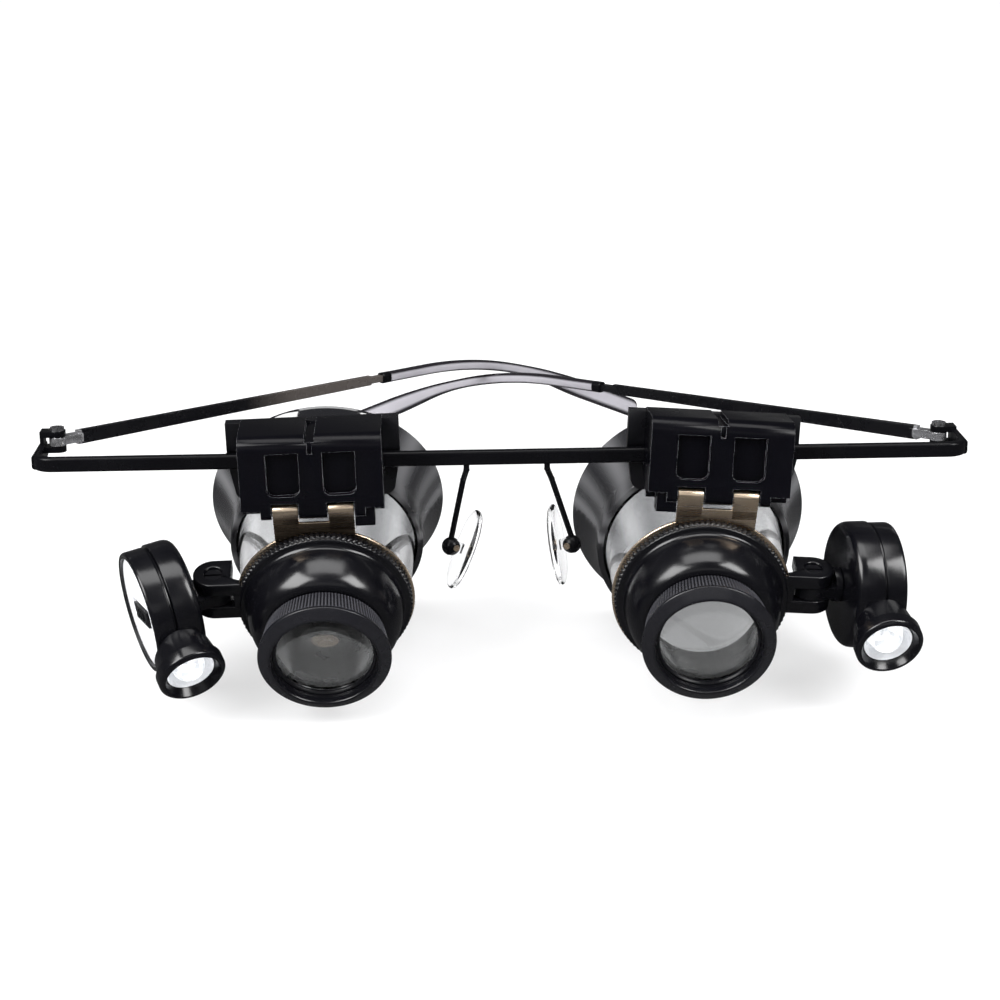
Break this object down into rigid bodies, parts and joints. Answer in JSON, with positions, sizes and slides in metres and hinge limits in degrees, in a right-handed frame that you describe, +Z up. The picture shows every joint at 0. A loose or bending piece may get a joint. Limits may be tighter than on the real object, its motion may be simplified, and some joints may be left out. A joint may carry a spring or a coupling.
{
  "type": "magnifying spectacles",
  "caption": "Slim black spectacle bar with folded temples, flip-up loupes on sliding clips, and small swivelling lamps beside the loupes.",
  "frame": {"origin": "middle of the footprint, on the surface the glasses stand on", "axes": "+Z up, -Y towards the objective lenses, +X to the right seen from the front"},
  "size_m": [0.143, 0.1148, 0.0451],
  "materials": {
    "bar_black": "smooth satin black paint",
    "clip_black": "fine satin moulded black",
    "plate_black": "satin moulded black",
    "gloss_black": "polished black",
    "bracket_gold": "pressed sheet, light gold",
    "screw_steel": "turned",
    "cover_silver": "satin silver",
    "tube_clear": "clear, slightly smoky",
    "lens_glass": "polished lens",
    "tip_smoke": "smooth smoke grey",
    "pad_clear": "soft and clear",
    "led_white": "milky dome"
  },
  "bodies": {
    "frame": {"front_bar": "bar_black", "temple_screws": "screw_steel", "nose_arm_left": "bar_black", "nose_arm_right": "bar_black", "nose_screws": "bracket_gold"},
    "temple_left": {"temple_left": "bar_black", "ear_tip_left": "tip_smoke"},
    "nose_pad_left": {"nose_pad_left": "pad_clear"},
    "clip_left": {"clip_cover_left": "clip_black", "clip_plate_left": "plate_black", "clip_screws_left": "screw_steel", "hinge_pin_left": "screw_steel"},
    "loupe_left": {"hinge_bracket_left": "bracket_gold", "front_ring_left": "gloss_black", "tube_body_left": "tube_clear", "eyecup_left": "gloss_black", "eye_lens_left": "lens_glass", "lamp_pivot_left": "plate_black"},
    "barrel_left": {"objective_barrel_left": "gloss_black", "objective_lens_left": "lens_glass", "lens_ring_left": "plate_black"},
    "arm_left": {"lamp_arm_left": "plate_black"},
    "lamp_left": {"lamp_inner_shell_left": "gloss_black", "lamp_outer_shell_left": "gloss_black", "battery_cover_left": "cover_silver", "coin_cell_left": "cover_silver", "cell_contact_left": "bracket_gold", "led_barrel_left": "gloss_black", "led_left": "led_white"},
    "switch_left": {"lamp_switch_left": "plate_black"},
    "temple_right": {"temple_right": "bar_black", "ear_tip_right": "tip_smoke"},
    "nose_pad_right": {"nose_pad_right": "pad_clear"},
    "clip_right": {"clip_cover_right": "clip_black", "clip_plate_right": "plate_black", "clip_screws_right": "screw_steel", "hinge_pin_right": "screw_steel"},
    "loupe_right": {"hinge_bracket_right": "bracket_gold", "front_ring_right": "gloss_black", "tube_body_right": "tube_clear", "eyecup_right": "gloss_black", "eye_lens_right": "lens_glass", "lamp_pivot_right": "plate_black"},
    "barrel_right": {"objective_barrel_right": "gloss_black", "objective_lens_right": "lens_glass", "lens_ring_right": "plate_black"},
    "arm_right": {"lamp_arm_right": "plate_black"},
    "lamp_right": {"lamp_inner_shell_right": "gloss_black", "lamp_outer_shell_right": "gloss_black", "battery_cover_right": "cover_silver", "coin_cell_right": "cover_silver", "cell_contact_right": "bracket_gold", "led_barrel_right": "gloss_black", "led_right": "led_white"},
    "switch_right": {"lamp_switch_right": "plate_black"}
  },
  "joints": [
    {"name": "temple_left_fold", "type": "hinge", "parent": "frame", "child": "temple_left", "pos_m": [-0.0685, -0.02443, 0.03618], "axis": [0, 0.1736, 0.9848], "range_deg": [0, 56]},
    {"name": "nose_pad_left_rock", "type": "hinge", "parent": "frame", "child": "nose_pad_left", "pos_m": [-0.00762, -0.03174, 0.02041], "axis": [0.342, -0.9254, 0.1632], "range_deg": [-10, 10]},
    {"name": "clip_left_slide", "type": "slide", "parent": "frame", "child": "clip_left", "axis": [-1, 0, 0], "range_m": [-0.003, 0.003]},
    {"name": "loupe_left_flip", "type": "hinge", "parent": "clip_left", "child": "loupe_left", "pos_m": [-0.02856, -0.04203, 0.03218], "axis": [-0.9997, -0.0045, -0.0258], "range_deg": [0, 95]},
    {"name": "barrel_left_focus", "type": "hinge", "parent": "loupe_left", "child": "barrel_left", "pos_m": [-0.02732, -0.04119, 0.0152], "axis": [0.0099, -0.977, -0.2129], "range_deg": [-150, 150]},
    {"name": "arm_left_turn", "type": "hinge", "parent": "loupe_left", "child": "arm_left", "pos_m": [-0.04429, -0.03826, 0.01695], "axis": [0.0242, 0.2131, -0.9767], "range_deg": [-8, 38]},
    {"name": "lamp_left_tilt", "type": "hinge", "parent": "arm_left", "child": "lamp_left", "pos_m": [-0.04429, -0.03826, 0.01695], "axis": [0.9198, 0.3781, 0.1053], "range_deg": [-35, 35]},
    {"name": "switch_left_slide", "type": "slide", "parent": "lamp_left", "child": "switch_left", "axis": [-0.3511, 0.9126, -0.2097], "range_m": [0, 0.0028]},
    {"name": "temple_right_fold", "type": "hinge", "parent": "frame", "child": "temple_right", "pos_m": [0.0685, -0.02469, 0.03471], "axis": [0, -0.1736, -0.9848], "range_deg": [0, 47.4]},
    {"name": "nose_pad_right_rock", "type": "hinge", "parent": "frame", "child": "nose_pad_right", "pos_m": [0.01042, -0.03174, 0.02041], "axis": [0.342, 0.9254, -0.1632], "range_deg": [-10, 4]},
    {"name": "clip_right_slide", "type": "slide", "parent": "frame", "child": "clip_right", "axis": [1, 0, 0], "range_m": [-0.003, 0.003]},
    {"name": "loupe_right_flip", "type": "hinge", "parent": "clip_right", "child": "loupe_right", "pos_m": [0.0319, -0.0425, 0.03343], "axis": [-0.9977, 0.0118, 0.067], "range_deg": [0, 95]},
    {"name": "barrel_right_focus", "type": "hinge", "parent": "loupe_right", "child": "barrel_right", "pos_m": [0.02995, -0.04395, 0.01656], "axis": [0.017, 0.9968, 0.0779], "range_deg": [-150, 150]},
    {"name": "arm_right_turn", "type": "hinge", "parent": "loupe_right", "child": "arm_right", "pos_m": [0.04697, -0.04088, 0.01718], "axis": [0.0658, -0.0788, 0.9947], "range_deg": [-38, 8]},
    {"name": "lamp_right_tilt", "type": "hinge", "parent": "arm_right", "child": "lamp_right", "pos_m": [0.04697, -0.04088, 0.01718], "axis": [0.9903, 0.127, -0.0555], "range_deg": [-35, 35]},
    {"name": "switch_right_slide", "type": "slide", "parent": "lamp_right", "child": "switch_right", "axis": [-0.1385, 0.9233, -0.3583], "range_m": [0, 0.0028]}
  ],
  "couplings": [
    {"joint": "temple_right_fold", "follows": "temple_left_fold", "ratio": 0.845}
  ]
}
